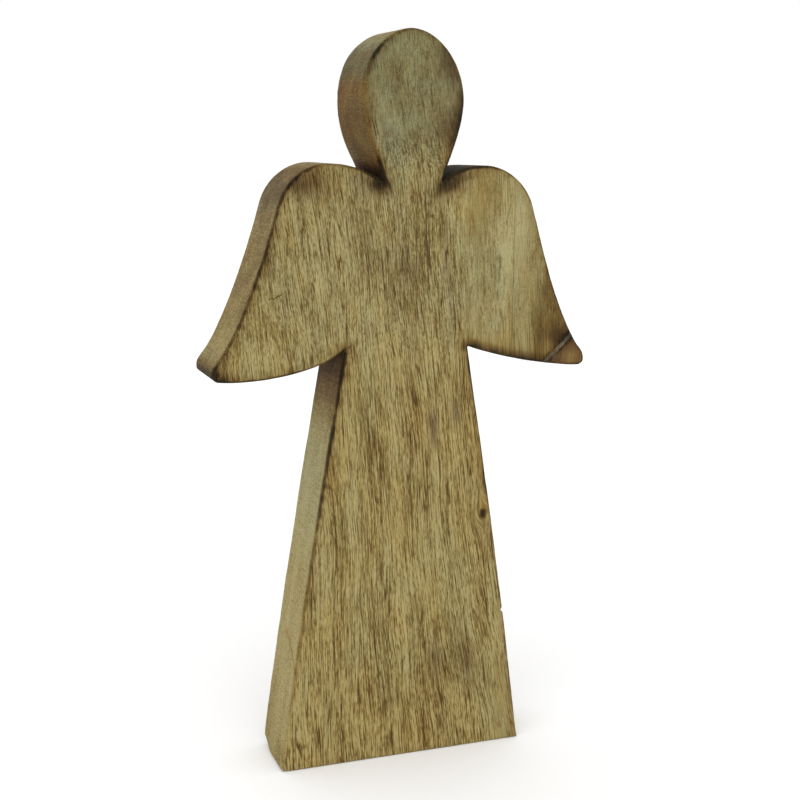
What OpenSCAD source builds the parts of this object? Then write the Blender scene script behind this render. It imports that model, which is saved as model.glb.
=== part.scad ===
// Standing wooden angel, sawn from a thick plank.
// A blank egg-shaped head, two drooping wings and a long gown share one
// front-to-back outline. The plank is glued up from two boards along one
// straight upright joint, which the outline crosses twice: the outer part of
// the right wing and the gown's lower right corner are the second board. The
// point of that wing is a small piece of its own, set in a band of filler.
// Lengths are in millimetres. +Z is up and the front faces -Y. The origin
// is the middle of the flat base.

/* [Plank] */
// Height from the base to the crown of the head
height = 380; // [360:1:400]
// Thickness of the plank, front to back
thickness = 39; // [24:1:60]
// Radius that softens the front and back edges
ease = 2.5; // [0.5:0.5:2.5]

/* [Gown] */
// Width of the base
base_w = 136.4; // [120:0.2:150]
// Width of the gown where it meets the wings
armpit_w = 67.4; // [56:0.2:74]
// Height at which the gown meets the wings
armpit_z = 221; // [217:1:226]
// How far the gown's sides bow outwards from a straight line
gown_bow = 1.2; // [0:0.1:4]

/* [Head] */
// Width of the head
head_w = 55.6; // [50:0.2:60]
// Height of the widest part of the head
head_z = 345; // [340:1:350]
// How far the head stands to the right of the middle
head_x = 1.3; // [-2:0.1:2]
// Width of the neck between its two corners
neck_w = 31; // [26:0.2:34]
// Height of the neck's two corners
neck_z = 305.4; // [301:0.2:308]
// How far the neck stands to the right of the middle
neck_x = 2.3; // [-3:0.1:3]

/* [Wings] */
// Span from wing tip to wing tip
span = 203; // [196:1:210]
// Height of the top of the right shoulder
right_shoulder_z = 313.6; // [311:0.1:317]
// Height of the top of the left shoulder
left_shoulder_z = 314.4; // [311:0.1:317]
// Distance of the right shoulder's outer corner from the middle
right_shoulder_x = 69; // [66:0.2:72]
// Distance of the left shoulder's outer corner from the middle
left_shoulder_x = 68; // [66:0.2:72]
// How far the right wing's lower edge bellies below the armpit
right_belly = 7; // [3:0.5:14]
// How far the left wing's lower edge bellies below the armpit
left_belly = 13; // [3:0.5:14]
// Height of the lower corner of the wing tips
tip_z = 208.2; // [204:0.2:212]
// Length of the blunt end of each wing tip
tip_end = 4.5; // [4:0.5:6]

/* [Glued pieces] */
// Distance of the two boards' upright joint from the middle
joint_x = 58.2; // [50:0.2:59]
// Thickness of the glue in that joint
glue_t = 0.3; // [0.2:0.1:0.5]
// Place of the tip's slanted joint along the wing's lower edge
tip_joint_x = 76; // [72:0.5:84]
// Angle of the tip's joint above level
tip_joint_angle = 44; // [40:1:60]
// Thickness of the filler in the tip's joint
filler_t = 2; // [1:0.1:3]

/* [Hidden] */
// The head: handles at crown and cheek as shares of its size, then from the cheek to the neck's corner
crown_share = 0.5;
cheek_share = 0.54;
cheek_drop = 13;
neck_flare = [5.1, 13.7];
// The shoulder: where its crest is, and the handles before and after the crest
crest_x = 42;
neck_rise = [5.5, 4.6];
crest_reach = 12;
// The wing's outer edge: its slope at the bend, how far that lies below the shoulder, and its handles
bend_slope = [0.27, -0.96];
bend_drop = 20.5;
bend_rise = 12;
bend_fall = 25;
// Where the outer edge meets the flared tip, inwards from the span and above the tip, and its handles
flare_in = 5.5;
flare_z = 13.8;
flare_rise = [11.5, -18.5];
flare_fall = [2.6, -4.2];
end_rise = 3;
// The cut corner of the blunt tip, then the handles of the lower edge at the tip and at the armpit
heel_z = 1.8;
toe_in = 2.4;
toe_reach = 15;
toe_lift = 1.5;
toe_belly = 0.25;
armpit_reach = 18;
// The shortest share of a mitre that is allowed at a sharp corner
mitre_limit = 0.7;
// Steps in each curve and in each softened edge
curve_steps = 12;
short_steps = 5;
ease_steps = 3;
// How far the softened band reaches into the core of the plank
band_lap = 0.2;
// Over twice the figurine's height, for the blocks that cut its pieces
big = 1000;
// A height between the gown's corner and the wing, where nothing crosses the joint
clear_z = 150;

// Points of a cubic curve from a to d with handles b and c, without its last point
function curve(a, b, c, d, steps) = [
    for (i = [0 : steps - 1])
        let (t = i / steps, u = 1 - t)
            u * u * u * a + 3 * u * u * t * b + 3 * u * t * t * c + t * t * t * d
];

// A direction on the right, turned to face the side it is used on
function flip(v, side) = [side * v.x, v.y];

// Crown to neck corner on one side: an egg's half, then the taper to the neck
function head_side(side) =
    let (
        w = head_w / 2,
        crown = [head_x, height],
        cheek = [head_x + side * w, head_z],
        corner = [neck_x + side * neck_w / 2, neck_z],
        across = [side * w * crown_share, 0],
        up = [0, (height - head_z) * cheek_share]
    )
    concat(
        curve(crown, crown + across, cheek + up, cheek, curve_steps),
        curve(cheek, cheek - [0, cheek_drop], corner + flip(neck_flare, side), corner, curve_steps)
    );

// Neck corner to wing tip: the rising shoulder, its round corner, the flaring edge
function wing_top(side, shoulder) =
    let (
        corner = [neck_x + side * neck_w / 2, neck_z],
        crest = [side * crest_x, shoulder.y],
        bend = [side * shoulder.x, shoulder.y - bend_drop],
        flare = [side * (span / 2 - flare_in), tip_z + flare_z],
        end = [side * span / 2, tip_z + tip_end],
        reach = [side * crest_reach, 0],
        down = flip(bend_slope, side)
    )
    concat(
        curve(corner, corner + flip(neck_rise, side), crest - reach, crest, curve_steps),
        curve(crest, crest + reach, bend - bend_rise * down, bend, curve_steps),
        curve(bend, bend + bend_fall * down, flare - flip(flare_rise, side), flare, curve_steps),
        curve(flare, flare + flip(flare_fall, side), end + [0, end_rise], end, short_steps)
    );

// Wing tip to armpit: the blunt end and its cut corner, then the bellied lower edge
function wing_under(side, belly) =
    let (
        end = [side * span / 2, tip_z + tip_end],
        heel = [side * span / 2, tip_z + heel_z],
        toe = [side * (span / 2 - toe_in), tip_z],
        armpit = [side * armpit_w / 2, armpit_z],
        toe_handle = [side * toe_reach, belly * toe_belly - toe_lift],
        armpit_handle = [side * armpit_reach, -belly]
    )
    concat(
        [end, heel],
        curve(toe, toe - toe_handle, armpit + armpit_handle, armpit, curve_steps)
    );

// Armpit to the base's corner: a shallow bow
function gown_side(side) =
    let (
        armpit = [side * armpit_w / 2, armpit_z],
        corner = [side * base_w / 2, 0],
        bow = [side * gown_bow * 4 / 3, 0],
        third = (corner - armpit) / 3
    )
    concat(
        curve(armpit, armpit + third + bow, corner - third + bow, corner, curve_steps),
        [corner]
    );

function half_outline(side, shoulder, belly) = concat(
    head_side(side), wing_top(side, shoulder), wing_under(side, belly), gown_side(side)
);

// The left half is walked upwards and leaves out the shared crown point
function full_outline() =
    let (
        right = half_outline(1, [right_shoulder_x, right_shoulder_z], right_belly),
        left = half_outline(-1, [left_shoulder_x, left_shoulder_z], left_belly)
    )
    concat(right, [for (i = [len(left) - 1 : -1 : 1]) left[i]]);

function unit(v) = v / norm(v);

// The same outline moved inwards by d, with mitred corners that are kept short
function inset(points, d) =
    let (n = len(points))
    [
        for (i = [0 : n - 1])
            let (
                before = unit(points[i] - points[(i + n - 1) % n]),
                after = unit(points[(i + 1) % n] - points[i]),
                inward = unit([before.y + after.y, -before.x - after.x]),
                mitre = inward * [after.y, -after.x]
            )
            points[i] + inward * d / max(mitre, mitre_limit)
    ];

// An outline extruded through the plank's thickness, standing upright
module slab(points) {
    rotate([90, 0, 0])
        linear_extrude(thickness, center = true)
            polygon(points);
}

// A closed band around the outline's edge. Its section is square inside and
// has a quarter round of radius ease at the front and at the back.
module rounded_band(points) {
    n = len(points);
    half_t = thickness / 2;
    angles = [for (i = [0 : ease_steps]) 90 * i / ease_steps];
    front = [for (a = angles) [ease * (1 - sin(a)), -half_t + ease * (1 - cos(a))]];
    back = [for (i = [ease_steps : -1 : 0]) [front[i].x, -front[i].y]];
    inside = [[ease + band_lap, half_t], [ease + band_lap, -half_t]];
    section = concat(front, back, inside);
    m = len(section);
    polyhedron(
        [for (s = section) for (p = inset(points, s.x)) [p.x, s.y, p.y]],
        [
            for (k = [0 : m - 1])
                for (i = [0 : n - 1])
                    let (j = (i + 1) % n, next = (k + 1) % m)
                    [k * n + i, next * n + i, next * n + j, k * n + j]
        ],
        convexity = 8
    );
}

// The whole figure before it is cut into its pieces
module figure() {
    points = full_outline();
    slab(inset(points, ease));
    rounded_band(points);
}

// Everything above the gap between the gown's corner and the wing
module upper_half() {
    translate([-big / 2, -big / 2, clear_z])
        cube(big);
}

// Everything to the right of an upright plane at x, from below the base to above the head
module right_of(x) {
    translate([x, -big / 2, -big / 2])
        cube(big);
}

// The part of the second board that is left in the figure
module second_board() {
    intersection() {
        figure();
        right_of(joint_x + glue_t);
    }
}

// The part of the glue between the boards that is left in the figure
module joint_glue() {
    intersection() {
        figure();
        difference() {
            right_of(joint_x);
            right_of(joint_x + glue_t);
        }
    }
}

// Everything beyond a plane that slants through the right wing's lower edge,
// moved outwards by gap
module beyond_tip_joint(gap) {
    translate([tip_joint_x, 0, tip_z + 2])
        rotate([0, -tip_joint_angle, 0])
            translate([-big / 2, -big / 2, -big - gap])
                cube(big);
}

module main_board() {
    color("#9a8452")
        difference() {
            figure();
            right_of(joint_x);
        }
}

module wing_strip() {
    color("#8f7444")
        difference() {
            intersection() {
                second_board();
                upper_half();
            }
            beyond_tip_joint(0);
        }
}

module wing_tip() {
    color("#8a6a35")
        intersection() {
            second_board();
            upper_half();
            beyond_tip_joint(filler_t);
        }
}

module gown_corner() {
    color("#9b8a55")
        difference() {
            second_board();
            upper_half();
        }
}

module wing_glue() {
    color("#5f4a2c")
        intersection() {
            joint_glue();
            upper_half();
        }
}

module gown_glue() {
    color("#5f4a2c")
        difference() {
            joint_glue();
            upper_half();
        }
}

module tip_filler() {
    color("#7d7a58")
        difference() {
            intersection() {
                second_board();
                upper_half();
                beyond_tip_joint(0);
            }
            beyond_tip_joint(filler_t);
        }
}

main_board();
wing_strip();
wing_tip();
gown_corner();
wing_glue();
gown_glue();
tip_filler();
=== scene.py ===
"""Looks of the standing wooden angel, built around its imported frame.

The figurine's outline is read back from the frame's own nodes. Each piece of
wood is rebuilt from it as a dense mesh with softened edges, cracks, a knot
and small dents, and its points carry the marks that the materials read.
Lengths are in millimetres until a mesh is made. +Z is up, the front faces -Y.
"""

import math
import bpy
import numpy as np
from mathutils import Matrix, Vector
from mathutils.geometry import delaunay_2d_cdt
from mathutils.kdtree import KDTree


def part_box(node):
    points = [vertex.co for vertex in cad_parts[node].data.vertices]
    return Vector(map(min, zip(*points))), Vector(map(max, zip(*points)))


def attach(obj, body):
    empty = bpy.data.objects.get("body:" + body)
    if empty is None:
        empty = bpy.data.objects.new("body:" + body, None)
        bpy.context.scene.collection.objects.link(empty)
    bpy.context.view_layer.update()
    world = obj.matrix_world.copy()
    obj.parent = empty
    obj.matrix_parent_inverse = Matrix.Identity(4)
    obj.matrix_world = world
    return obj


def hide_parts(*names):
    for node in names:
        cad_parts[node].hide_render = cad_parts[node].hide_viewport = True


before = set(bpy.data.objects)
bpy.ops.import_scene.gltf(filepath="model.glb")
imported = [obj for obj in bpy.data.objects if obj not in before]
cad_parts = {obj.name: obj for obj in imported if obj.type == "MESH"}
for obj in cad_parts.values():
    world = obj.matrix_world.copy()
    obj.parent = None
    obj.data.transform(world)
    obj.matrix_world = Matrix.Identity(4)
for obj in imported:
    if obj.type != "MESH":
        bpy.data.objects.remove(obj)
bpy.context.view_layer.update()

MM = 0.001

# ---------------------------------------------------------------- camera

CAMERA_PLACE = (-0.2462, -0.6636, 0.3239)
CAMERA_YAW = 20.606
CAMERA_PITCH = -10.621
CAMERA_ROLL = 0.629
CAMERA_LENS = 61.467
SENSOR_WIDTH = 36
NEAREST_SEEN = 0.01
FARTHEST_SEEN = 100


def make_camera():
    """The camera stands in front of the figurine, to its left and a little above its middle."""
    yaw = math.radians(CAMERA_YAW)
    pitch = math.radians(CAMERA_PITCH)
    roll = math.radians(CAMERA_ROLL)
    reach = math.cos(pitch)
    ahead = Vector((math.sin(yaw) * reach, math.cos(yaw) * reach, math.sin(pitch)))
    level = Vector((math.cos(yaw), -math.sin(yaw), 0))
    right = math.cos(roll) * level + math.sin(roll) * level.cross(ahead)
    turn = Matrix((right, right.cross(ahead), -ahead)).transposed().to_4x4()
    camera = bpy.data.objects.new("camera", bpy.data.cameras.new("camera"))
    camera.data.lens = CAMERA_LENS
    camera.data.sensor_width = SENSOR_WIDTH
    camera.data.clip_start = NEAREST_SEEN
    camera.data.clip_end = FARTHEST_SEEN
    camera.matrix_world = Matrix.Translation(CAMERA_PLACE) @ turn
    bpy.context.scene.collection.objects.link(camera)
    bpy.context.scene.camera = camera


# ---------------------------------------------------------------- floor and light

FLOOR_SIZE = 40
FLOOR_COLOUR = (0.93, 0.93, 0.93, 1)
FLOOR_ROUGHNESS = 0.9
DULL = 0.1
SKY_COLOUR = (1, 1, 1, 1)
SKY_STRENGTH = 1.0
KEY_STRENGTH = 0.9
KEY_SOFTNESS = 70
KEY_TURN = (48, 0, -28)


def make_stage():
    """A wide pale floor, an even white surround and one large soft light."""
    mesh = bpy.data.meshes.new("floor")
    half = FLOOR_SIZE / 2
    corners = [(-half, -half, 0), (half, -half, 0), (half, half, 0), (-half, half, 0)]
    mesh.from_pydata(corners, [], [(0, 1, 2, 3)])
    floor = bpy.data.objects.new("floor", mesh)
    paint = bpy.data.materials.new("floor")
    paint.use_nodes = True
    shader = paint.node_tree.nodes["Principled BSDF"]
    shader.inputs["Base Color"].default_value = FLOOR_COLOUR
    shader.inputs["Roughness"].default_value = FLOOR_ROUGHNESS
    shader.inputs["Specular IOR Level"].default_value = DULL
    mesh.materials.append(paint)
    bpy.context.scene.collection.objects.link(floor)

    world = bpy.data.worlds.new("surround")
    world.use_nodes = True
    sky = world.node_tree.nodes["Background"]
    sky.inputs["Color"].default_value = SKY_COLOUR
    sky.inputs["Strength"].default_value = SKY_STRENGTH
    bpy.context.scene.world = world

    key = bpy.data.objects.new("key", bpy.data.lights.new("key", "SUN"))
    key.data.energy = KEY_STRENGTH
    key.data.angle = math.radians(KEY_SOFTNESS)
    key.rotation_euler = tuple(math.radians(a) for a in KEY_TURN)
    bpy.context.scene.collection.objects.link(key)
    bpy.context.scene.view_settings.view_transform = "Standard"


# ---------------------------------------------------------------- outline, from the frame

# Place, from front to back, of the cut that is read from the frame: a little off the plank's middle
MIDDLE = 0.05
# Points this close together are one point, and a run bends at a corner by more than this angle
SAME = 0.02
CORNER = math.radians(26)
# Spacing of the smooth outline's points, and how often its corners are softened
OUTLINE_STEP = 0.4
CORNER_ROUNDING = 3
# How far beyond a node's box the outline is kept before its joints cut it
AROUND = 1.5


def section_loop(node):
    """The closed loop in which a node's mesh crosses a plane close to the plank's middle."""
    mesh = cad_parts[node].data
    mesh.calc_loop_triangles()
    corners = np.empty(len(mesh.vertices) * 3)
    mesh.vertices.foreach_get("co", corners)
    corners = corners.reshape(-1, 3) / MM
    segments = []
    for triangle in mesh.loop_triangles:
        a, b, c = (corners[i] for i in triangle.vertices)
        hits = []
        for p, q in ((a, b), (b, c), (c, a)):
            if (p[1] < MIDDLE) != (q[1] < MIDDLE):
                t = (MIDDLE - p[1]) / (q[1] - p[1])
                hits.append((p + t * (q - p))[[0, 2]])
        if len(hits) == 2:
            segments.append(hits)
    return straightened(chained(segments))


def chained(segments):
    """Unordered segments joined end to end into one loop of points."""
    left = [(np.array(a), np.array(b)) for a, b in segments]
    loop = list(left.pop())
    while left:
        ends = [min(np.linalg.norm(a - loop[-1]), np.linalg.norm(b - loop[-1])) for a, b in left]
        a, b = left.pop(int(np.argmin(ends)))
        near_a = np.linalg.norm(a - loop[-1]) <= np.linalg.norm(b - loop[-1])
        loop.append(b if near_a else a)
    return np.array(loop[:-1])


def straightened(loop):
    """The loop without repeated points and without points in the middle of a straight line."""
    kept = [p for p, q in zip(loop, np.roll(loop, -1, axis=0)) if np.linalg.norm(q - p) > SAME / 4]
    changed = True
    while changed:
        changed = False
        for i in range(len(kept)):
            before, here, after = kept[i - 1], kept[i], kept[(i + 1) % len(kept)]
            along = (after - before) / max(np.linalg.norm(after - before), SAME)
            off = here - before
            if abs(off[0] * along[1] - off[1] * along[0]) < SAME / 4:
                kept.pop(i)
                changed = True
                break
    kept = np.array(kept)
    x, z = kept[:, 0], kept[:, 1]
    area = np.sum(x * np.roll(z, -1) - z * np.roll(x, -1))
    return kept if area > 0 else kept[::-1]


def spaced(points):
    """The loop without points that lie on top of the next one."""
    return points[np.linalg.norm(np.roll(points, -1, axis=0) - points, axis=1) > SAME]


def edges_of(loop):
    """The loop's edges, as pairs of points."""
    return list(zip(loop, np.roll(loop, -1, axis=0)))


def same_edge(one, other):
    """Whether two edges join the same two points, in either direction."""
    (a, b), (c, d) = one, other
    direct = np.linalg.norm(a - c) < SAME and np.linalg.norm(b - d) < SAME
    return direct or (np.linalg.norm(a - d) < SAME and np.linalg.norm(b - c) < SAME)


def turning(points):
    """The angle by which a closed loop turns at each of its points."""
    before = points - np.roll(points, 1, axis=0)
    after = np.roll(points, -1, axis=0) - points
    cross = before[:, 0] * after[:, 1] - before[:, 1] * after[:, 0]
    return np.arctan2(cross, np.sum(before * after, axis=1))


def runs_between_corners(points, corner):
    """The loop cut at its corners into open runs, which share their end points."""
    ends = np.flatnonzero(np.abs(turning(points)) > corner)
    closed = np.concatenate([points, points])
    return [closed[a : b + 1] for a, b in zip(ends, np.append(ends[1:], ends[0] + len(points)))]


def curved_run(run, step):
    """Points along a smooth curve through a run, without its last point."""
    padded = np.concatenate([[2 * run[0] - run[1]], run, [2 * run[-1] - run[-2]]])
    found = []
    for p, a, b, q in zip(padded, padded[1:], padded[2:], padded[3:]):
        count = max(1, round(float(np.linalg.norm(b - a)) / step))
        t = (np.arange(count) / count)[:, None]
        found.append(
            a
            + 0.5 * t * (b - p)
            + t * t * (p - 2.5 * a + 2 * b - 0.5 * q)
            + t * t * t * (1.5 * (a - b) + 0.5 * (q - p))
        )
    return np.concatenate(found)


def read_outline(loops):
    """The whole figurine's outline: every edge that only one node has, joined and smoothed."""
    names = list(loops)
    free = []
    for name in names:
        others = [e for n in names if n != name for e in edges_of(loops[n])]
        free += [e for e in edges_of(loops[name]) if not any(same_edge(e, o) for o in others)]
    rough = straightened(chained(free))
    outline = np.concatenate([curved_run(r, OUTLINE_STEP) for r in runs_between_corners(rough, CORNER)])
    outline = spaced(outline)
    for _ in range(CORNER_ROUNDING):
        outline = (np.roll(outline, 1, axis=0) + 2 * outline + np.roll(outline, -1, axis=0)) / 4
    return outline


def clipped(points, origin, inward):
    """The part of a polygon on the inward side of a line."""
    side = (points - origin) @ inward
    kept = []
    for i in range(len(points)):
        j = (i + 1) % len(points)
        if side[i] >= 0:
            kept.append(points[i])
        if (side[i] >= 0) != (side[j] >= 0):
            t = side[i] / (side[i] - side[j])
            kept.append(points[i] + t * (points[j] - points[i]))
    return np.array(kept)


def piece_polygon(node, loops, outline):
    """One piece's share of the smooth outline, and the joint lines that cut it off."""
    low, high = (np.array(c)[[0, 2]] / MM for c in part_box(node))
    polygon = clipped(outline, low - AROUND, np.array([0.0, 1.0]))
    polygon = clipped(polygon, high + AROUND, np.array([0.0, -1.0]))
    middle = loops[node].mean(axis=0)
    joints = []
    for name in loops:
        if name == node:
            continue
        for edge in edges_of(loops[node]):
            if any(same_edge(edge, other) for other in edges_of(loops[name])):
                along = (edge[1] - edge[0]) / np.linalg.norm(edge[1] - edge[0])
                inward = np.array([-along[1], along[0]])
                if (middle - edge[0]) @ inward < 0:
                    inward = -inward
                polygon = clipped(polygon, edge[0], inward)
                joints.append((edge[0], inward))
    return spaced(polygon), joints


# ---------------------------------------------------------------- fields over the plank


# The table of random values that repeats over the plank: its size, and where on it the origin lies
TABLE = 64
TABLE_START = (31.7, 17.3)


def wander(x, z, size_x, size_z, seed):
    """Smooth random values from -1 to 1 over the plank, with lumps of about the given sizes."""
    table = np.random.default_rng(seed).uniform(-1, 1, (TABLE, TABLE))
    u = x / size_x + TABLE_START[0]
    v = z / size_z + TABLE_START[1]
    i = np.floor(u).astype(int)
    j = np.floor(v).astype(int)
    s = u - i
    t = v - j
    s = s * s * (3 - 2 * s)
    t = t * t * (3 - 2 * t)
    left, right = i % TABLE, (i + 1) % TABLE
    low, high = j % TABLE, (j + 1) % TABLE
    a = table[left, low] * (1 - s) + table[right, low] * s
    b = table[left, high] * (1 - s) + table[right, high] * s
    return a * (1 - t) + b * t


def blob(x, z, place, radii, lean=0.0):
    """1 at a place, fading smoothly beyond the radii. A positive lean tips its top to the left."""
    dx = x - place[0]
    dz = z - place[1]
    c = math.cos(math.radians(lean))
    s = math.sin(math.radians(lean))
    across = (dx * c + dz * s) / radii[0]
    along = (dz * c - dx * s) / radii[1]
    return np.exp(-(across**2 + along**2))


def ramp(value, low, high):
    """Rises smoothly from 0 at low to 1 at high."""
    t = np.clip((value - low) / (high - low), 0, 1)
    return t * t * (3 - 2 * t)


def painted(x, z, marks):
    """The sum of soft marks. Each mark is (place, radii, lean, amount)."""
    total = np.zeros(len(x))
    for place, radii, lean, amount in marks:
        total += amount * blob(x, z, place, radii, lean)
    return total


# Marks on the front face: (x, z) place, (across, along) radii, lean in degrees, amount.
# A negative rusty mark is mossy, and a negative pale one is dark.
FRONT_SCORCH = [
    ((-17, 303.5), (5, 3), -20, 0.7),
    ((-25, 307.5), (6, 2), -25, 0.18),
    ((21, 303.5), (7, 3.2), 25, 0.85),
    ((31, 308), (7, 2), 12, 0.4),
    ((-16.5, 312), (2.2, 8), 8, 0.65),
    ((28, 333), (7, 13), -14, 0.6),
    ((21, 363), (6, 12), 32, 0.26),
    ((28, 347), (2.5, 9), 0, 0.25),
    ((-57, 305), (8, 6), -30, 0.3),
    ((-46, 307), (9, 4), 0, 0.22),
    ((-99, 211), (5, 4), 0, 0.42),
    ((-34, 222), (3, 3), 0, 0.28),
    ((36, 220.5), (5, 2.5), 0, 0.55),
    ((45, 219.0), (13, 2.8), -13, 0.42),
    ((66, 214), (14, 3), -9, 0.42),
    ((84, 225), (7, 5), -40, 0.25),
    ((91.5, 224), (4.2, 4.2), 10, 0.42),
    ((80.5, 213.6), (1.6, 1.2), -40, 0.4),
    ((83.6, 216.0), (1.3, 0.8), 45, 0.5),
    ((92.2, 225.0), (2.6, 1.6), 45, 0.5),
    ((45.5, 150), (1.6, 12), 12, 0.4),
    ((40, 190), (1.5, 26), 12, 0.25),
    ((20, 50), (7, 13), 5, 0.16),
    ((36, 50), (4.5, 13), 12, 0.2),
]
RUSTY = [
    ((0, 362), (40, 42), 0, -1.3),
    ((22, 320), (6, 9), 0, 0.3),
    ((50, 22), (12, 22), 0, -0.1),
    ((0, 262), (60, 45), 0, -0.3),
    ((53, 262), (8, 46), 0, -0.2),
    ((40, 258), (14, 36), 0, -0.35),
    ((-66, 255), (26, 44), 20, -0.15),
    ((36, 292), (9, 20), 0, 0.32),
    ((46, 138), (4, 7), -30, 0.5),
    ((42, 160), (5, 20), 10, 0.25),
    ((-50, 4), (13, 1.8), 0, 0.6),
    ((64.2, 5.4), (0.8, 0.8), 0, 1.0),
    ((55, 118), (3, 10), 0, 0.35),
    ((24, 316), (4, 9), 0, 0.35),
    ((93, 214), (9, 6), 0, 0.1),
    ((80, 232), (10, 16), 30, 0.15),
    ((48, 222), (12, 6), 0, 0.3),
    ((-4, 322), (14, 12), 0, -0.4),
    ((2, 180), (10, 14), 0, 0.22),
    ((15, 10), (12, 10), 0, 0.18),
]
ASHEN = [
    ((27, 187), (2.6, 7), 5, 1.0),
    ((14, 182), (3, 6), 5, 0.9),
    ((15, 172), (2.4, 5), 5, 0.75),
    ((22, 255), (1.6, 34), 5, 0.5),
    ((18, 285), (1.3, 18), 5, 0.4),
    ((-5, 262), (7, 16), 12, 0.35),
    ((2, 225), (5, 14), 8, 0.3),
    ((36, 50), (6, 14), 12, 0.5),
    ((18, 50), (5, 14), 5, 0.45),
    ((76, 246), (5, 12), 20, 0.3),
    ((-14, 330), (8, 14), 0, 0.4),
    ((28, 334), (8.5, 14), -14, 1.25),
    ((24, 360), (8, 15), 30, 0.8),
    ((-22, 364), (5, 14), -38, 0.7),
    ((22, 303), (10, 5), 20, 0.8),
    ((-18, 303), (10, 5), -20, 0.8),
    ((-56, 304), (12, 8), -25, 0.8),
    ((86, 224), (8, 6), -40, 0.8),
    ((60, 214), (24, 4), -9, 0.5),
]
PALE = [
    ((0, 360), (40, 40), 0, -0.56),
    ((-12, 333), (8, 9), 0, 0.15),
    ((53, 262), (4.5, 48), 0, 0.75),
    ((-49, 262), (2.6, 30), 9, 0.7),
    ((-72, 222), (16, 10), 0, 0.4),
    ((-36, 284), (4, 16), 9, 0.55),
    ((-14, 290), (4, 10), 5, 0.35),
    ((-66, 290), (7, 10), 0, 0.4),
    ((-62, 250), (22, 40), 20, -0.15),
    ((65, 275), (7, 26), -4, 0.45),
    ((80, 230), (9, 14), 30, -0.6),
    ((0, 318), (16, 9), 0, -0.2),
    ((79, 262), (6, 26), 18, -0.5),
    ((72, 240), (6, 20), 12, -0.35),
    ((93, 212), (7, 5), 0, 0.5),
    ((37, 290), (10, 22), 0, 0.3),
    ((56, 30), (9, 30), 8, 0.3),
    ((-54, 50), (10, 40), -8, 0.25),
    ((20, 48), (6, 20), 5, -0.5),
    ((35, 52), (6, 18), 12, -0.55),
    ((-20, 45), (8, 22), 5, -0.25),
    ((6, 270), (14, 28), 8, -0.62),
    ((-25, 262), (7, 26), 10, -0.35),
    ((2, 222), (26, 14), 0, 0.3),
]
# The same for the outline's own edge: how dark its softened corner is
EDGE_SCORCH = [
    ((-78, 262), (14, 60), -28, 0.8),
    ((-60, 303), (12, 9), 0, 0.5),
    ((-70, 209), (32, 5), 0, 0.55),
    ((-101, 212), (7, 6), 0, 0.5),
    ((-33, 214), (6, 10), 0, 0.7),
    ((-42, 175), (8, 40), -10, 1.0),
    ((-56, 90), (10, 60), -10, 0.45),
    ((-19, 368), (9, 12), 0, 0.85),
    ((-24, 330), (8, 18), 0, 0.2),
    ((-15, 309), (6, 10), 0, 1.0),
    ((19, 309), (6, 10), 0, 1.0),
    ((28, 330), (6, 20), -14, 0.8),
    ((18, 368), (12, 10), 40, 0.45),
    ((0, 380), (16, 4), 0, 0.5),
    ((38, 312), (20, 4), 0, 0.55),
    ((66, 305), (10, 10), 0, 0.35),
    ((84, 250), (12, 46), 28, 0.5),
    ((60, 214), (34, 8), 0, 0.55),
    ((99, 212), (6, 7), 0, 0.6),
    ((40, 190), (7, 30), 12, 0.5),
    ((47, 150), (5, 16), 12, 0.75),
    ((60, 60), (9, 55), 12, 0.35),
]
# And for the sawn walls, right through the plank
WALL_SCORCH = [
    ((-20, 305), (9, 5), 0, 1.3),
    ((-30, 310), (9, 4), 0, 0.7),
    ((-17, 309), (4, 5), 0, 0.6),
    ((24, 306), (9, 5), 0, 1.4),
    ((36, 311), (11, 4), 0, 0.9),
    ((19, 312), (4, 8), 0, 0.9),
    ((-24, 328), (6, 12), 0, 0.1),
    ((28, 328), (6, 16), 0, 0.5),
    ((-34, 219), (7, 6), 0, 0.6),
    ((-37, 200), (6, 18), 0, 0.1),
    ((35, 216), (7, 16), 0, 0.8),
    ((60, 212), (30, 6), 0, 0.7),
    ((-60, 210), (30, 5), 0, 0.6),
    ((-101, 210), (6, 5), 0, 0.75),
    ((-58, 311), (10, 5), 0, 0.35),
    ((80, 250), (10, 40), 28, 0.3),
]
WALL_RUSTY = [
    ((-27, 351), (5, 6), 0, 0.75),
    ((-25, 330), (8, 12), 0, 0.35),
    ((-18, 312), (6, 7), 0, 0.7),
    ((-21, 367), (14, 12), 0, -1.4),
    ((-38, 205), (8, 20), 0, 0.5),
    ((-46, 160), (18, 45), -10, -0.5),
    ((-62, 60), (14, 60), -10, -0.1),
    ((-70, 300), (12, 16), 0, -0.5),
    ((-96, 216), (8, 10), 0, -0.3),
]
WALL_PALE = [
    ((-26, 345), (9, 24), 0, -1.05),
    ((-26, 336), (3, 5), 0, -0.3),
    ((-27, 343), (3, 4), 0, 0.1),
    ((-22, 368), (10, 12), 0, -0.6),
    ((-18, 318), (8, 12), 0, -0.6),
    ((-66, 302), (10, 12), 0, -1.05),
    ((-72, 285), (14, 30), -20, -0.3),
    ((-84, 252), (12, 26), -28, -0.42),
    ((-68, 8), (8, 14), 0, -0.25),
    ((-50, 150), (12, 50), -10, 0.6),
    ((-62, 60), (12, 60), -10, 0.5),
    ((-38, 208), (8, 20), 0, -1.2),
]
# The knot at the gown's right edge
KNOT = (44.0, 130.7)
KNOT_RADII = (2.0, 2.9)
# The filled seam of the right wing's tip: two places on its middle line
SEAM = np.array([(78.8, 211.5), (92.8, 225.0)])


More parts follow.
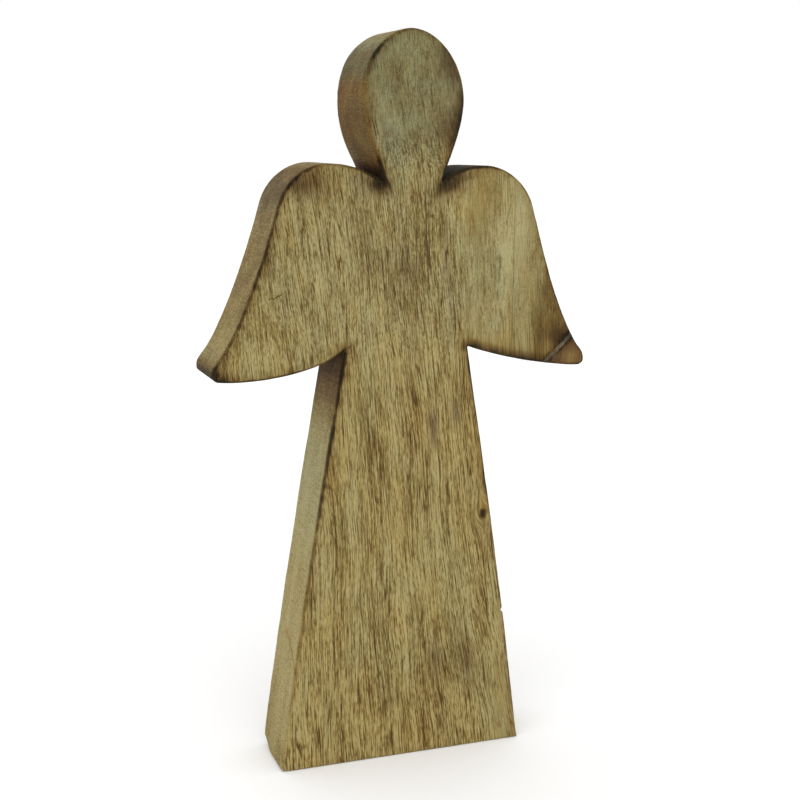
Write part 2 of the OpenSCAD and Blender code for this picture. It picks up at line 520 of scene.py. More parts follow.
def seam_burn(x, z):
    """Ragged burning along both sides of the filled seam, and a weaker band above it."""
    along = (SEAM[1] - SEAM[0]) / np.linalg.norm(SEAM[1] - SEAM[0])
    across = (x - SEAM[0, 0]) * along[1] - (z - SEAM[0, 1]) * along[0]
    across = across + 0.9 * wander(x, z, 1.9, 1.9, 92)
    ragged = 0.62 + 0.6 * wander(x, z, 1.7, 1.7, 91)
    lines = np.exp(-(((np.abs(across) - 1.25) / 0.55) ** 2))
    lines = lines + 0.5 * np.exp(-(((across + 2.6) / 1.6) ** 2))
    return ragged * lines * (x > 70) * (z < 235)


def heart_stain(x, z):
    """The browner heartwood at the outer side of the right wing, up to a wavy growth ring."""
    ring = 69 + 0.175 * (z - 217) + 1.6 * wander(x, z, 60, 11, 81)
    return ramp(x - ring, -1.0, 2.2) * (1 - ramp(z, 275, 292)) * ramp(x, 60, 62)


def wall_ring(x, y, z):
    """A thin growth ring that slants across the gown's left wall, rising towards the back."""
    off = z - 58 - 0.95 * (y + 15) + 0.02 * (y + 15) ** 2
    return np.exp(-((off / 1.2) ** 2)) * (x < -50) * (1 - ramp(y, 2, 9))


def knot_reach(x, z):
    """Distance from the knot's middle, which is 1 at its rim."""
    rim = 1 + 0.12 * wander(x, z, 1.6, 1.6, 71)
    return np.hypot((x - KNOT[0]) / KNOT_RADII[0], (z - KNOT[1]) / KNOT_RADII[1]) / rim


def grain_place(x, y, z, shift, turn):
    """Where each point lies in the tree: across the grain, through the plank and along the grain."""
    bend = 200
    above = 0.5 * (z - bend + np.hypot(z - bend, 40))
    below = z - bend - above
    across = x + above * (0.118 - 0.0016 * np.maximum(x, 0)) + below * (0.078 + 0.0013 * x)
    across = across + 1.3 * wander(x, z, 17, 46, 41) + 0.45 * wander(x, z, 6, 20, 42)
    reach = np.hypot((x - KNOT[0]) / 5.5, (z - KNOT[1]) / 10)
    across = across - (x - KNOT[0]) * np.exp(-(reach**2))
    along = z + 0.55 * (z - 215) * ramp(z, 205, 235) + 2.2 * (z - 312) * ramp(z, 300, 335)
    along = along + 0.8 * (z - 260) * ramp(x, 24, 40) * ramp(z, 205, 235)
    c = math.cos(math.radians(turn))
    s = math.sin(math.radians(turn))
    turned = across * c + along * s + shift
    return np.column_stack([turned, y + shift, along * c - across * s + 2 * shift])


# ---------------------------------------------------------------- meshes

THICK = float((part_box("main_board")[1].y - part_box("main_board")[0].y) / MM)
# Spacing of points on the faces and along their borders, and rows of faces through a wall
GRID_STEP = 1.35
GRID_JITTER = 0.14
EDGE_STEP = 1.1
WALL_ROWS = 26
# Angles at which the softened edge has rings of points, every few points of the outline
ROUND_ANGLES = (18, 36, 52, 66, 78, 90)
RING_SKIP = 3
# A ring's point is dropped where another part of the outline is nearer than this share of its depth
RING_SHARE = 0.96
# The least gaps between points: of cracks and knot, beside a joint, on a ring, and on the grid
FINE_GAP = 0.1
JOINT_GAP = 0.12
RING_GAP = 0.2
GRID_GAP = 0.62 * GRID_STEP
# Rows of points beside a joint, their length and spacing, and the fine groove along the joint
JOINT_ROWS = (0.25, 0.7)
JOINT_REACH = 160
JOINT_STEP = 0.9
JOINT_DEPTH = 0.04
JOINT_WIDTH = 0.22
# How far inwards a wall's unevenness moves the faces, and the angle beyond which an edge stays sharp
INSET_REACH = 3.5
SHARP = math.radians(40)

# Thin cracks in the front face, one in the left wing and two at the head's left: points and depth
WING_CRACK = [
    (-73.6, 248.2),
    (-71.6, 248.9),
    (-70.2, 248.6),
    (-68.6, 249.8),
    (-66.9, 250.3),
    (-65.0, 251.6),
]
OUTER_CRACK = [(-22.3, 338.0), (-21.4, 334.6), (-20.3, 331.3), (-19.3, 328.0), (-18.6, 325.5)]
INNER_CRACK = [(-20.7, 337.2), (-19.9, 334.0), (-18.6, 330.6), (-17.8, 327.6)]
CRACKS = [(WING_CRACK, 0.5), (OUTER_CRACK, 0.8), (INNER_CRACK, 0.6)]
CRACK_WIDTH = 0.28
# Rows of points along a crack, in crack widths from its middle
CRACK_ROWS = (0, 1, -1, 2.4, -2.4)
# The patch of closer points around the knot: its half width, its radius and its spacing
KNOT_PATCH = 5
KNOT_PATCH_RADIUS = 4.6
KNOT_STEP = 0.42


class Outline:
    """The figurine's smooth outline, with the distance to it and the softening of its edges."""

    def __init__(self, points):
        self.points = points
        self.after = np.roll(points, -1, axis=0)
        along = self.after - np.roll(points, 1, axis=0)
        along /= np.linalg.norm(along, axis=1)[:, None]
        self.inward = np.column_stack([-along[:, 1], along[:, 0]])
        self.tree = tree_of(points)
        x, z = points.T
        self.front_ease = edge_softness(x, z, 11)
        self.back_ease = edge_softness(x, z, 12)

    def near(self, points):
        """The nearest outline point of each point, and its exact distance from the outline."""
        index = np.array([self.tree.find((p[0], p[1], 0))[1] for p in points])
        best = np.full(len(points), np.inf)
        for k in (index - 1, index):
            a, b = self.points[k], self.after[k]
            t = np.clip(np.sum((points - a) * (b - a), axis=1) / np.sum((b - a) ** 2, axis=1), 0, 1)
            best = np.minimum(best, np.linalg.norm(points - a - t[:, None] * (b - a), axis=1))
        return index, best


def tree_of(points):
    """A search tree for the nearest of these points."""
    tree = KDTree(len(points))
    for i, p in enumerate(points):
        tree.insert((p[0], p[1], 0), i)
    tree.balance()
    return tree


def edge_softness(x, z, seed):
    """Radius of the softened edge: largest at the head's left, smallest at the base."""
    soft = 1.9 + 0.5 * wander(x, z, 26, 26, seed) + 3.0 * blob(x, z, (-24, 342), (10, 24))
    return soft * (0.55 + 0.45 * ramp(z, 0, 4))


def inside(points, polygon):
    """Which points lie inside a polygon."""
    x, z = points.T
    found = np.zeros(len(points), bool)
    for (ax, az), (bx, bz) in zip(polygon, np.roll(polygon, -1, axis=0)):
        if az != bz:
            found ^= ((az > z) != (bz > z)) & (x < (bx - ax) * (z - az) / (bz - az) + ax)
    return found


def even_grid(low, high, step, seed):
    """Slightly irregular points in a triangular grid."""
    rng = np.random.default_rng(seed)
    found = []
    for k, z in enumerate(np.arange(low[1], high[1], step * math.sqrt(3) / 2)):
        xs = np.arange(low[0] + (k % 2) * step / 2, high[0], step)
        found.append(np.column_stack([xs, np.full(len(xs), z)]))
    points = np.concatenate(found)
    return points + rng.uniform(-GRID_JITTER * step, GRID_JITTER * step, points.shape)


def along_run(run, count):
    """Evenly spaced points on an open run, without its last point."""
    lengths = np.concatenate([[0], np.cumsum(np.linalg.norm(np.diff(run, axis=0), axis=1))])
    at = np.linspace(0, lengths[-1], count + 1)[:-1]
    return np.column_stack([np.interp(at, lengths, run[:, 0]), np.interp(at, lengths, run[:, 1])])


def resampled(polygon, step):
    """The polygon's points at an even spacing, with its corners kept."""
    found = []
    for run in runs_between_corners(polygon, CORNER):
        length = np.sum(np.linalg.norm(np.diff(run, axis=0), axis=1))
        found.append(along_run(run, max(1, math.ceil(length / step))))
    return np.concatenate(found)


def thinned(points, taken, gap):
    """The points that are at least gap away from those already taken."""
    tree = tree_of(taken)
    return points[[tree.find((p[0], p[1], 0))[2] >= gap for p in points]]


def polyline_distance(points, line):
    """Distance of each point from an open line, and the place along it from 0 to 1."""
    line = np.array(line, float)
    best = np.full(len(points), np.inf)
    place = np.zeros(len(points))
    for k, (a, b) in enumerate(zip(line, line[1:])):
        t = np.clip((points - a) @ (b - a) / np.sum((b - a) ** 2), 0, 1)
        gap = np.linalg.norm(points - a - t[:, None] * (b - a), axis=1)
        nearer = gap < best
        best = np.where(nearer, gap, best)
        place = np.where(nearer, (k + t) / (len(line) - 1), place)
    return best, place


def crack_depth(points):
    """Depth of the cracks in the front face. Each tapers to nothing at its ends."""
    total = np.zeros(len(points))
    for line, depth in CRACKS:
        gap, place = polyline_distance(points, line)
        taper = np.sqrt(np.clip(4 * place * (1 - place), 0, 1))
        total += depth * taper * np.clip(1 - gap / CRACK_WIDTH, 0, 1)
    return total


def knot_depth(points):
    """The knot stands in a shallow dish, with a crack across its middle."""
    x, z = points.T
    reach = knot_reach(x, z)
    crack = np.clip(1 - np.abs(x - KNOT[0] - 0.3 * (z - KNOT[1])) / 0.3, 0, 1)
    return 0.22 * np.exp(-(reach**4)) + 0.3 * crack * np.clip(1.2 - reach, 0, 1)


def fine_points():
    """Extra points around the cracks and the knot, so that the mesh follows them."""
    found = []
    for line, _ in CRACKS:
        line = np.array(line, float)
        dense = np.concatenate([along_run(line, 5 * len(line)), line[-1:]])
        along = np.gradient(dense, axis=0)
        along /= np.linalg.norm(along, axis=1)[:, None]
        across = np.column_stack([-along[:, 1], along[:, 0]])
        found += [dense + across * k * CRACK_WIDTH for k in CRACK_ROWS]
    middle = np.array(KNOT)
    around = even_grid(middle - KNOT_PATCH, middle + KNOT_PATCH, KNOT_STEP, 6)
    found.append(around[np.linalg.norm(around - KNOT, axis=1) < KNOT_PATCH_RADIUS])
    return found


def point_layers(polygon, joints, outline):
    """Layers of inner points with the least gap of each: fine details, joints, softened edge, grid."""
    layers = [(p, FINE_GAP) for p in fine_points()]
    for origin, inward in joints:
        along = np.array([inward[1], -inward[0]])
        reach = np.arange(-JOINT_REACH, JOINT_REACH, JOINT_STEP)[:, None]
        layers += [(origin + inward * row + along * reach, JOINT_GAP) for row in JOINT_ROWS]
    ease = outline.front_ease[::RING_SKIP]
    for angle in ROUND_ANGLES:
        wanted = ease * (1 - math.cos(math.radians(angle)))
        ring = outline.points[::RING_SKIP] + outline.inward[::RING_SKIP] * wanted[:, None]
        layers.append((ring[outline.near(ring)[1] > RING_SHARE * wanted], RING_GAP))
    grid = even_grid(polygon.min(axis=0), polygon.max(axis=0), GRID_STEP, 5)
    grid = grid[outline.near(grid)[1] > outline.front_ease.max() + 2 * RING_GAP]
    return layers + [(grid, GRID_GAP)]


def flat_points(polygon, joints, outline):
    """A piece's border and inner points, seen from the front, and the triangles between them."""
    border = resampled(polygon, EDGE_STEP)
    points = border
    for layer, gap in point_layers(polygon, joints, outline):
        layer = layer[inside(layer, polygon)]
        for origin, inward in joints:
            layer = layer[(layer - origin) @ inward > FINE_GAP]
        if len(layer):
            points = np.concatenate([points, thinned(layer, points, gap)])
    rim = len(border)
    edges = [(i, (i + 1) % rim) for i in range(rim)]
    flat, _, faces, _, _, _ = delaunay_2d_cdt([Vector(p) for p in points], edges, [], 1, 1e-6)
    used = sorted({i for f in faces for i in f})
    place = {old: new for new, old in enumerate(used)}
    return np.array([tuple(flat[i]) for i in used]), rim, [tuple(place[i] for i in f) for f in faces]


def face_depth(points, outline, ease, joints, seed):
    """How far a face lies below the plank's flat face, at each point."""
    index, distance = outline.near(points)
    radius = ease[index]
    across = np.clip(radius - distance, 0, radius)
    depth = radius - np.sqrt(np.maximum(radius**2 - across**2, 0))
    for origin, inward in joints:
        depth = depth + JOINT_DEPTH * np.exp(-np.abs((points - origin) @ inward) / JOINT_WIDTH)
    x, z = points.T
    depth = depth + 0.1 * (1 + wander(x, z, 34, 60, seed))
    return depth + 0.04 * (1 + wander(x, z, 9, 26, seed + 1))


def saw_lean(x, y, z):
    """How far the saw leaned sideways from the outline, at the left side of the head only.
    In front it cut inwards at the cheek, and at the back outwards at the crown and below the cheek."""
    back = ramp(y, -THICK / 2, THICK / 2)
    lean = 2.0 * (1 - back) * blob(x, z, (-24, 338), (9, 22))
    lean = lean - 1.6 * back * blob(x, z, (-22, 326), (10, 18))
    return lean - 1.3 * back * blob(x, z, (-18, 366), (13, 17))


def corner_lift(x, y, z):
    """How far the base's worn left corners are lifted: a little in front, more at the back."""
    corner = (-68, 0)
    lift = 3.6 * blob(x, z, corner, (5, 5)) * ramp(y, 2, THICK / 2)
    return lift + 1.2 * blob(x, z, corner, (2.5, 2.5))


def wall_inset(x, y, z):
    """How far a sawn wall lies inside the outline: a wavy saw cut, and a chip out of its front edge."""
    wave = 0.12 * (1 + wander(x + z, y, 16, 30, 51)) + 0.05 * (1 + wander(x - z, y, 5, 14, 52))
    chip = 1.3 * blob(x, z, (56.8, 75.3), (6, 1.0)) * (1 - ramp(y, -15, -5))
    return ramp(z, 0.0, 2.0) * (wave + chip)


def moved_by_hand(verts, inset, inward):
    """The points after the wavy saw cut, the lean of the saw and the wear of the base's corner."""
    verts[:, [0, 2]] += inward * (inset * wall_inset(*verts.T))[:, None]
    lean, lift = saw_lean(*verts.T), corner_lift(*verts.T)
    verts[:, 0] += lean + 0.3 * lift
    verts[:, 2] += lift
    return verts


def wall_faces(rows, rim):
    """Faces between rows of points around the piece. Each row is named by its first point."""
    found = []
    for upper, lower in zip(rows, rows[1:]):
        for i in range(rim):
            j = (i + 1) % rim
            found.append((upper + j, upper + i, lower + i, lower + j))
    return found


def build_wood(node, loops, outline, shift, turn):
    """One piece, from its share of the outline: a front, a back and the walls between them."""
    polygon, joints = piece_polygon(node, loops, outline.points)
    points, rim, faces = flat_points(polygon, joints, outline)
    n = len(points)
    x, z = points.T
    front = -THICK / 2 + face_depth(points, outline, outline.front_ease, joints, 21)
    front = front + crack_depth(points) + knot_depth(points)
    back = THICK / 2 - face_depth(points, outline, outline.back_ease, joints, 31)
    parts = [np.column_stack([x, front, z]), np.column_stack([x, back, z])]
    for row in range(1, WALL_ROWS):
        t = row / WALL_ROWS
        y = front[:rim] * (1 - t) + back[:rim] * t
        parts.append(np.column_stack([x[:rim], y, z[:rim]]))
    verts = np.concatenate(parts)
    nearest, distance = outline.near(points)
    flat = np.concatenate([np.arange(n), np.arange(n), np.tile(np.arange(rim), WALL_ROWS - 1)])
    inset = np.clip(1 - distance / INSET_REACH, 0, 1)[flat]
    verts = moved_by_hand(verts, inset, outline.inward[nearest[flat]])
    faces = faces + [tuple(n + i for i in reversed(f)) for f in faces]
    rows = [0] + [2 * n + k * rim for k in range(WALL_ROWS - 1)] + [n]
    faces += wall_faces(rows, rim)
    mesh = bpy.data.meshes.new(node + "_wood")
    mesh.from_pydata([tuple(v) for v in verts * MM], [], faces)
    mesh.polygons.foreach_set("use_smooth", [True] * len(mesh.polygons))
    mesh.set_sharp_from_angle(angle=SHARP)
    wall = np.ones(len(verts))
    wall[:n] = 1 - ramp(distance / outline.front_ease[nearest], 0.0, 0.9)
    wall[n : 2 * n] = 1 - ramp(distance / outline.back_ease[nearest], 0.0, 0.9)
    is_back = np.zeros(len(verts))
    is_back[n : 2 * n] = 1
    put_vectors(mesh, "grain", grain_place(*verts.T, shift, turn))
    write_marks(mesh, verts, wall, is_back, outline)
    piece = bpy.data.objects.new(node + "_wood", mesh)
    bpy.context.scene.collection.objects.link(piece)
    return piece


def scorched_face(x, z, distance, edge, arris, is_back):
    """Charring of the front and back: marks, darker edges, the knot, cracks and the filled seam."""
    is_front = 1 - is_back
    scorch = painted(x, z, FRONT_SCORCH) * is_front
    ragged = distance + 0.7 * wander(x, z, 2.2, 3, 63)
    scorch = scorch + 0.5 * edge * np.exp(-np.maximum(ragged, 0) / 2.2) * np.where(is_back > 0, 0.8, 1)
    scorch = scorch + 0.8 * arris * np.exp(-((ragged - 0.5) / 0.9) ** 2)
    scorch = scorch + 1.1 * np.clip(1.35 - knot_reach(x, z), 0, 1) * is_front
    cracks = 1.4 * crack_depth(np.column_stack([x, z]))
    return scorch + (cracks + 0.6 * seam_burn(x, z)) * is_front


def pore_strength(x, z):
    """How strong the pores and lines are: 1 on most of the gown, less on the wings and the head."""
    strong = 1 - 0.1 * ramp(z, 195, 225)
    strong = strong - 0.44 * ramp(x, 22, 36) * ramp(z, 205, 225)
    strong = strong - 0.52 * ramp(z, 312, 334)
    strong = strong - 0.5 * ramp(x, 42, 56) * ramp(-z, -60, -30)
    strong = strong - 0.25 * blob(x, z, (37, 291), (8, 18))
    strong = strong - 0.6 * blob(x, z, (44, 131), (6, 11))
    return np.where((x > 58.3) & (z > 150), 0.36, strong)


def write_marks(mesh, verts, wall, is_back, outline):
    """The marks that the materials read from the mesh's points.
    tint is rusty, ashen, pale. wear is scorch, share of wall, strength of pores."""
    x, y, z = verts.T
    index, distance = outline.near(np.column_stack([x, z]))
    at_x, at_z = outline.points[index].T
    edge = painted(at_x, at_z, EDGE_SCORCH)
    arris = edge * (1 + 0.35 * wander(at_x, at_z, 7, 7, 61) + 0.3 * wander(x, z, 2.4, 3.2, 62))
    face = 1 - wall
    front = (1 - is_back) * face
    ring = wall_ring(x, y, z)
    stain = heart_stain(x, z) * front
    from_front = np.abs(y + THICK / 2)
    scorch_wall = painted(x, z, WALL_SCORCH) + arris * np.exp(-np.maximum(from_front - 1.2, 0) / 0.7)
    scorch_wall = scorch_wall + 0.22 * ring
    scorch = scorched_face(x, z, distance, edge, arris, is_back) * face + scorch_wall * wall
    rusty = painted(x, z, RUSTY) * front + painted(x, z, WALL_RUSTY) * wall
    rusty = rusty + 0.8 * ring * wall + 0.15 * stain
    ashen = painted(x, z, ASHEN) * front
    pale = painted(x, z, PALE) * front + painted(x, z, WALL_PALE) * wall - 0.55 * stain
    put_vectors(mesh, "tint", np.column_stack([rusty, ashen, pale]))
    put_vectors(mesh, "wear", np.column_stack([scorch, wall, pore_strength(x, z)]))


def put_vectors(mesh, name, values):
    """Three numbers for each point of the mesh, kept under a name."""
    field = mesh.attributes.new(name, "FLOAT_VECTOR", "POINT")
    field.data.foreach_set("vector", np.ascontiguousarray(values, dtype=np.float32).ravel())


# ---------------------------------------------------------------- materials


class Paint:
    """Short calls that add nodes to one material and join them."""

    def __init__(self, name):
        self.material = bpy.data.materials.new(name)
        self.material.use_nodes = True
        self.nodes = self.material.node_tree.nodes
        self.links = self.material.node_tree.links
        self.shader = self.nodes["Principled BSDF"]

    def feed(self, socket, value):
        """Links another node's output to the socket, or sets a plain value on it."""
        if isinstance(value, bpy.types.NodeSocket):
            self.links.new(value, socket)
        else:
            socket.default_value = value

    def math(self, operation, a, b=0.0, c=0.0, clamp=False):
        node = self.nodes.new("ShaderNodeMath")
        node.operation = operation
        node.use_clamp = clamp
        for socket, value in zip(node.inputs, (a, b, c)):
            self.feed(socket, value)
        return node.outputs[0]

    def field(self, name):
        node = self.nodes.new("ShaderNodeAttribute")
        node.attribute_name = name
        return node.outputs["Vector"]

    def split(self, vector):
        node = self.nodes.new("ShaderNodeSeparateXYZ")
        self.feed(node.inputs[0], vector)
        return node.outputs

    def scaled(self, vector, sizes, offset=(0, 0, 0)):
        """The vector measured in lumps of the given sizes."""
        node = self.nodes.new("ShaderNodeVectorMath")
        node.operation = "MULTIPLY_ADD"
        self.feed(node.inputs[0], vector)
        node.inputs[1].default_value = tuple(1 / s for s in sizes)
        node.inputs[2].default_value = offset
        return node.outputs[0]

    def noise(self, vector, detail=2.0, roughness=0.5, distortion=0.0):
        node = self.nodes.new("ShaderNodeTexNoise")
        self.feed(node.inputs["Vector"], vector)
        node.inputs["Scale"].default_value = 1
        node.inputs["Detail"].default_value = detail
        node.inputs["Roughness"].default_value = roughness
        node.inputs["Distortion"].default_value = distortion
        return node.outputs["Fac"]

    def cells(self, vector):
        """Distance from the middle of each random cell, and a random number for the cell."""
        node = self.nodes.new("ShaderNodeTexVoronoi")
        self.feed(node.inputs["Vector"], vector)
        node.inputs["Scale"].default_value = 1
        return node.outputs["Distance"], self.split(node.outputs["Color"])[0]

    def lines(self, vector, width, shown):
        """Thin lines along the level where a noise crosses its middle, faded by a mask."""
        level = self.math("ABSOLUTE", self.math("SUBTRACT", self.noise(vector, 0), 0.5))
        return self.math("MULTIPLY", self.range(level, 0.0, width, 1, 0), shown)

    def range(self, value, low, high, to_low=0.0, to_high=1.0):
        node = self.nodes.new("ShaderNodeMapRange")
        node.interpolation_type = "SMOOTHSTEP"
        self.feed(node.inputs["Value"], value)
        limits = {"From Min": low, "From Max": high, "To Min": to_low, "To Max": to_high}
        for name, number in limits.items():
            self.feed(node.inputs[name], number)
        return node.outputs["Result"]

    def tinted(self, factor, colour, tint):
        """The colour, multiplied by a tint where the factor is 1."""
        return self.blend(factor, colour, self.blend(1.0, colour, tint, "MULTIPLY"))

    def blend(self, factor, a, b, kind="MIX"):
        node = self.nodes.new("ShaderNodeMix")
        node.data_type = "RGBA"
        node.blend_type = kind
        node.clamp_factor = True
        self.feed(node.inputs["Factor"], factor)
        for socket, value in ((node.inputs[6], a), (node.inputs[7], b)):
            self.feed(socket, (*value, 1) if isinstance(value, tuple) else value)
        return node.outputs[2]

    def steps(self, factor, stops):
        """A colour picked from (place, colour) stops."""
        node = self.nodes.new("ShaderNodeValToRGB")
        self.feed(node.inputs[0], factor)
        ramp_stops = node.color_ramp.elements
        while len(ramp_stops) < len(stops):
            ramp_stops.new(0.5)
        for stop, (place, colour) in zip(ramp_stops, stops):
            stop.position = place
            stop.color = (*colour, 1)
        return node.outputs[0]

    def bump(self, height, distance):
        """Small relief of the surface, at full strength. The distance is in metres."""
        node = self.nodes.new("ShaderNodeBump")
        node.inputs["Distance"].default_value = distance
        self.feed(node.inputs["Height"], height)
        self.links.new(node.outputs[0], self.shader.inputs["Normal"])


# Sizes of the wood's features in mm: across the grain, through the plank, along the grain
BANDS = (7, 11, 70)
PATCHES = (3.5, 6, 14)
FIBRES = (0.44, 0.7, 3.4)
THREADS = (0.5, 0.8, 19)
DRIFTS = (2.4, 4, 34)
LONG_LINES = (1.5, 2.2, 62)
SHORT_LINES = (0.9, 1.3, 15)
HUES = (11, 16, 42)
CROWDS = (3, 6, 26)
PORES = (0.7, 1.0, 5)
SAW_MARKS = (2.5, 30, 1.1)
SPECKS = (0.9, 1.8, 1.1)
STREAKS = (1.4, 2, 12)
# Tints that the wood's colour is multiplied by
GREENER = (0.982, 1.012, 1.05)
BROWNER = (1.02, 0.992, 0.93)
IN_PORES = (0.4, 0.34, 0.22)
RUST = (1.15, 0.8, 0.5)
MOSS = (0.87, 1.08, 1.5)
ASH = (0.62, 0.6, 0.74)
CHAR = [(0.0, (1, 1, 1)), (0.3, (0.64, 0.54, 0.42)), (0.62, (0.28, 0.23, 0.18)), (1.0, (0.1, 0.095, 0.1))]
# The middle tone is warmer and lighter on the sawn walls
WALL_TINT = (1.12, 1.17, 1.2)
# Pores, lines and fibres show less on the walls, by this share
WALL_FADE = -0.7
WOOD_BUMP = 0.00025


def wood_fibres(p, grain, patches):
    """The fine fibres, and a finer tone made of them, of long threads and of thin dark lines."""
    fibres = p.noise(p.scaled(grain, FIBRES, (3, 9, 5)), 2, 0.5)
    threads = p.noise(p.scaled(grain, THREADS, (2, 8, 3)), 1, 0.5)
    drifts = p.noise(p.scaled(grain, DRIFTS, (6, 6, 1)), 1, 0.5)
    long_shown = p.range(drifts, 0.36, 0.58, 0.3, 1.0)
    long_lines = p.lines(p.scaled(grain, LONG_LINES, (8, 2, 6)), 0.048, long_shown)
    short_shown = p.range(patches, 0.4, 0.62, 1, 0.3)
    short_lines = p.lines(p.scaled(grain, SHORT_LINES, (5, 7, 2)), 0.08, short_shown)
    drawn = p.math("MULTIPLY_ADD", long_lines, -0.55, p.math("MULTIPLY_ADD", short_lines, -0.26, 0.155))
    fine = p.math("MULTIPLY_ADD", fibres, 1.4, p.math("MULTIPLY_ADD", threads, 1.5, -1.45))
    return fibres, p.math("ADD", fine, drawn)


def wood_pores(p, grain, side, porous):
    """Short dark pores, crowded in some bands and missing from others."""
    crowd = p.noise(p.scaled(grain, CROWDS, (4, 4, 4)), 3, 0.6)
    crowd = p.math("MULTIPLY", p.range(crowd, 0.3, 0.7, 0.2, 1.0), porous)
    gap, pick = p.cells(p.scaled(grain, PORES))
    pores = p.math("MULTIPLY", p.range(gap, 0.08, 0.34, 1, 0), p.math("LESS_THAN", pick, crowd))
    return p.math("MULTIPLY", pores, p.math("MULTIPLY_ADD", side, WALL_FADE, 1.0))


def wall_tone(p, grain, bands, cuts, pale):
    """The tone of the sawn walls: bands, marks of the saw and specks."""
    specks = p.noise(p.scaled(grain, SPECKS, (9, 9, 9)), 2, 0.6)
    tone = p.math("MULTIPLY_ADD", cuts, 0.4, p.math("MULTIPLY_ADD", bands, 0.5, -0.16))
    tone = p.math("MULTIPLY_ADD", specks, 1.5, p.math("ADD", tone, -0.57))
    return p.math("MULTIPLY_ADD", pale, 0.3, tone)


def stained(p, colour, grain, fibres, scorch):
    """The colour with its rusty, mossy and ashen stains, then charred where it is scorched."""
    rusty, ashen, _ = p.split(p.field("tint"))
    colour = p.tinted(p.math("MULTIPLY", rusty, 0.8), colour, RUST)
    colour = p.tinted(p.math("MULTIPLY", rusty, -1.0), colour, MOSS)
    smudge = p.math("MULTIPLY", ashen, p.range(fibres, 0.3, 0.65, 0.6, 1.3))
    colour = p.tinted(smudge, colour, ASH)
    streaks = p.noise(p.scaled(grain, STREAKS, (6, 1, 7)), 3, 0.6)
    char = p.math("MULTIPLY", scorch, p.range(streaks, 0.25, 0.7, 0.75, 1.2))
    return p.blend(1.0, colour, p.steps(char, CHAR), "MULTIPLY")


def wood_paint(name, pore, dark, middle, light):
    """Waxed plain wood: bands, fine fibres, short dark pores, smudges and scorched edges."""
    p = Paint(name)
    grain = p.field("grain")
    pale = p.split(p.field("tint"))[2]
    scorch, side, porous = p.split(p.field("wear"))

    bands = p.noise(p.scaled(grain, BANDS), 3, 0.55, 0.3)
    patches = p.noise(p.scaled(grain, PATCHES, (7, 3, 1)), 2, 0.5)
    fibres, fine = wood_fibres(p, grain, patches)
    shown = p.math("MULTIPLY_ADD", side, WALL_FADE, 1.0)
    fine = p.math("MULTIPLY", p.math("MULTIPLY", fine, porous), shown)
    coarse = p.math("MULTIPLY_ADD", bands, 0.82, p.math("MULTIPLY", patches, 0.12))
    coarse = p.math("MULTIPLY_ADD", pale, 0.3, p.math("ADD", coarse, 0.015))
    tone = p.math("ADD", coarse, fine)
    colour = p.steps(tone, [(0.0, pore), (0.25, dark), (0.5, middle), (0.85, light)])

    hue = p.noise(p.scaled(grain, HUES, (1, 5, 8)), 2, 0.5)
    green = p.blend(1.0, colour, GREENER, "MULTIPLY")
    brown = p.blend(1.0, colour, BROWNER, "MULTIPLY")
    colour = p.blend(p.range(hue, 0.35, 0.65), green, brown)
    pores = wood_pores(p, grain, side, porous)
    colour = p.tinted(p.math("MULTIPLY", pores, 0.3), colour, IN_PORES)

    cuts = p.noise(p.scaled(grain, SAW_MARKS, (2, 2, 2)), 3, 0.6)
    warm = tuple(value * tint for value, tint in zip(middle, WALL_TINT))
    wall_stops = [(0.0, pore), (0.25, dark), (0.5, warm), (0.85, light)]
    wall_colour = p.steps(wall_tone(p, grain, bands, cuts, pale), wall_stops)
    colour = p.blend(p.math("MULTIPLY", side, 0.75), colour, wall_colour)
    p.feed(p.shader.inputs["Base Color"], stained(p, colour, grain, fibres, scorch))

    rough = p.math("MULTIPLY_ADD", pores, 0.2, 0.58)
    rough = p.math("MULTIPLY_ADD", fibres, 0.12, rough)
    rough = p.math("MULTIPLY_ADD", scorch, 0.15, rough, clamp=True)
    p.feed(p.shader.inputs["Roughness"], rough)
    p.shader.inputs["Specular IOR Level"].default_value = DULL
    height = p.math("MULTIPLY_ADD", fine, 0.8, p.math("MULTIPLY", pores, -0.8))
    height = p.math("MULTIPLY_ADD", p.math("MULTIPLY", cuts, side), 0.6, height)
    p.bump(height, WOOD_BUMP)
    return p.material


# Dried filler and cured glue: stops of (place, colour), then the colour where they are scorched
FILLER_STOPS = [(0.3, (0.06, 0.05, 0.024)), (0.5, (0.11, 0.093, 0.046)), (0.75, (0.19, 0.162, 0.085))]
FILLER_PITS = (0.07, 0.06, 0.04)
FILLER_CHAR = (0.04, 0.032, 0.024)
FILLER_BUMP = 0.0003
GLUE_STOPS = [(0.3, (0.08, 0.058, 0.022)), (0.55, (0.15, 0.112, 0.045)), (0.75, (0.22, 0.175, 0.075))]
TIGHT_STOPS = [(0.3, (0.2, 0.16, 0.06)), (0.75, (0.3, 0.25, 0.1))]
GLUE_CHAR = (0.03, 0.024, 0.018)
GLUE_SHEEN = 0.15
GLUE_BUMP = 0.0002


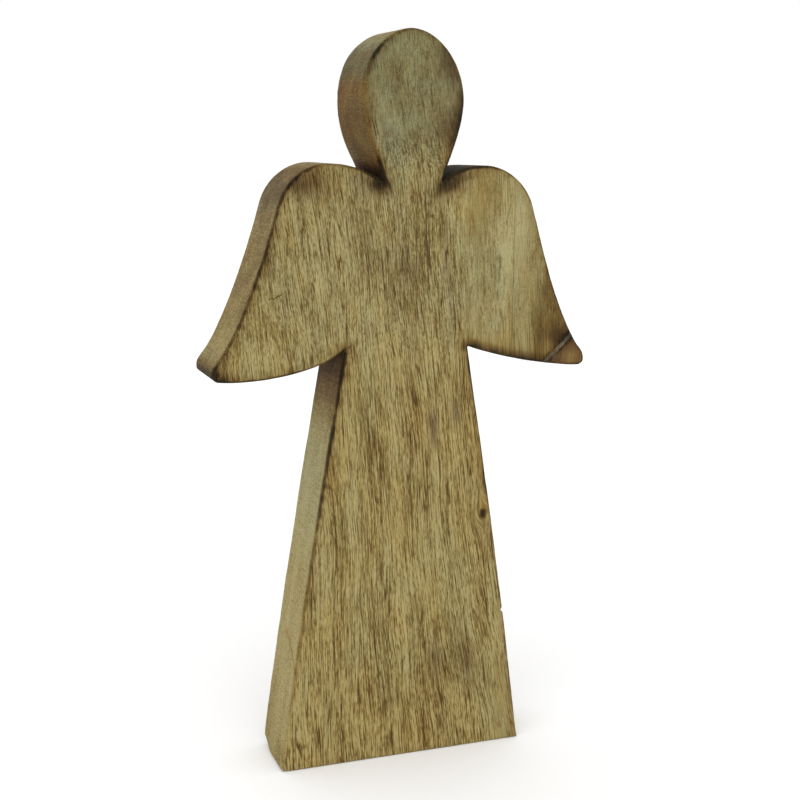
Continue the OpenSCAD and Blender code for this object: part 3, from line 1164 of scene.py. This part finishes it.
def filler_paint():
    """Dried wood filler: a grey-green paste with fine pits."""
    p = Paint("joint_filler")
    place = p.field("grain")
    lumps = p.noise(p.scaled(place, (2.2, 2.2, 2.2)), 4, 0.6)
    pits = p.range(p.cells(p.scaled(place, (0.9, 0.9, 0.9)))[0], 0.12, 0.3, 1, 0)
    scorch = p.split(p.field("wear"))[0]
    colour = p.blend(p.math("MULTIPLY", pits, 0.6), p.steps(lumps, FILLER_STOPS), FILLER_PITS)
    p.feed(p.shader.inputs["Base Color"], p.blend(scorch, colour, FILLER_CHAR))
    p.feed(p.shader.inputs["Roughness"], p.range(lumps, 0.3, 0.7, 0.6, 0.8))
    p.shader.inputs["Specular IOR Level"].default_value = DULL
    p.bump(p.math("MULTIPLY_ADD", pits, -0.6, lumps), FILLER_BUMP)
    return p.material


def glue_paint():
    """Cured glue: a thin amber line, paler where the joint is tight, on the gown and at the shoulder."""
    p = Paint("joint_glue")
    place = p.field("grain")
    flow = p.noise(p.scaled(place, (3, 3, 9)), 3, 0.6)
    height = p.split(place)[2]
    tight = p.math("MAXIMUM", p.range(height, 100, 200, 1, 0), p.range(height, 262, 320, 0, 0.8))
    colour = p.blend(tight, p.steps(flow, GLUE_STOPS), p.steps(flow, TIGHT_STOPS))
    scorch = p.split(p.field("wear"))[0]
    p.feed(p.shader.inputs["Base Color"], p.blend(scorch, colour, GLUE_CHAR))
    p.feed(p.shader.inputs["Roughness"], p.range(flow, 0.3, 0.7, 0.45, 0.65))
    p.shader.inputs["Specular IOR Level"].default_value = GLUE_SHEEN
    p.bump(flow, GLUE_BUMP)
    return p.material


# ---------------------------------------------------------------- the figurine

make_camera()
make_stage()

# Each wood's tones: its pores, then dark, middle and light wood
MAIN_TONES = [(0.08, 0.046, 0.014), (0.14, 0.088, 0.025), (0.228, 0.168, 0.055), (0.36, 0.292, 0.123)]
SECOND_TONES = [(0.08, 0.05, 0.014), (0.15, 0.105, 0.032), (0.255, 0.2, 0.078), (0.37, 0.31, 0.145)]
TIP_TONES = [(0.06, 0.036, 0.014), (0.115, 0.073, 0.028), (0.2, 0.137, 0.052), (0.33, 0.24, 0.1)]
PAINTS = {
    "main_board_wood": wood_paint("main_board_wood", *MAIN_TONES),
    "second_board_wood": wood_paint("second_board_wood", *SECOND_TONES),
    "wing_tip_wood": wood_paint("wing_tip_wood", *TIP_TONES),
    "joint_glue": glue_paint(),
    "joint_filler": filler_paint(),
}

# Each node: its slot, and how its grain is shifted in mm and turned in degrees
PIECES = {
    "main_board": ("main_board_wood", 0, 0),
    "wing_strip": ("second_board_wood", 37, 0),
    "gown_corner": ("second_board_wood", 37, 0),
    "wing_tip": ("wing_tip_wood", 81, 38),
    "wing_glue": ("joint_glue", 0, 0),
    "gown_glue": ("joint_glue", 0, 0),
    "tip_filler": ("joint_filler", 0, 0),
}
LOOPS = {node: section_loop(node) for node in PIECES}
OUTLINE = Outline(read_outline(LOOPS))
for node, (slot, shift, turn) in PIECES.items():
    piece = build_wood(node, LOOPS, OUTLINE, shift, turn)
    piece.data.materials.append(PAINTS[slot])
    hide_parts(node)
    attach(piece, "root")
